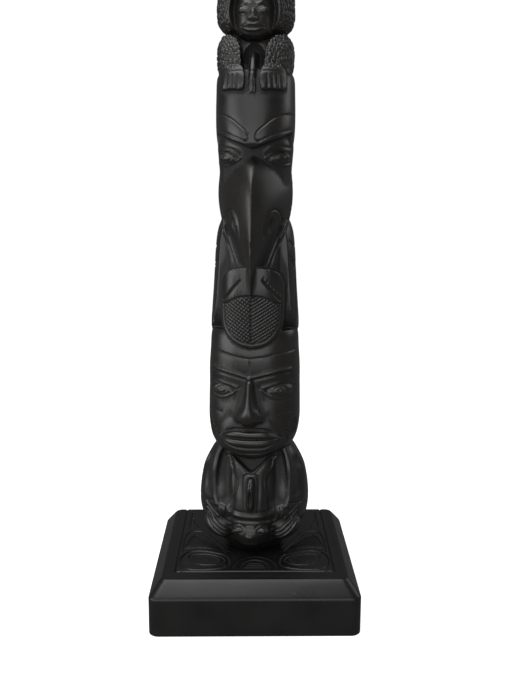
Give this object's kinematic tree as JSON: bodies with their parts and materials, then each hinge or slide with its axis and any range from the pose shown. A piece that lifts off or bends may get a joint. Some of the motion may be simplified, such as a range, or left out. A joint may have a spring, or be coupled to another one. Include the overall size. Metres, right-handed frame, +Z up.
{
  "type": "souvenir totem pole",
  "caption": "Black cast-resin totem pole on a square base: furred figure, raven with folded wings, large face, and a crouching being holding a whale.",
  "frame": {"origin": "centre of the base's underside, where it stands", "axes": "+Z up along the pole, -Y to the front, where the faces and the raven's beak point"},
  "size_m": [0.1016, 0.1016, 0.312],
  "materials": {
    "pole_resin": "satin",
    "base_resin": "matte"
  },
  "bodies": {
    "root": {"totem_pole": "pole_resin", "base": "base_resin"}
  },
  "joints": []
}
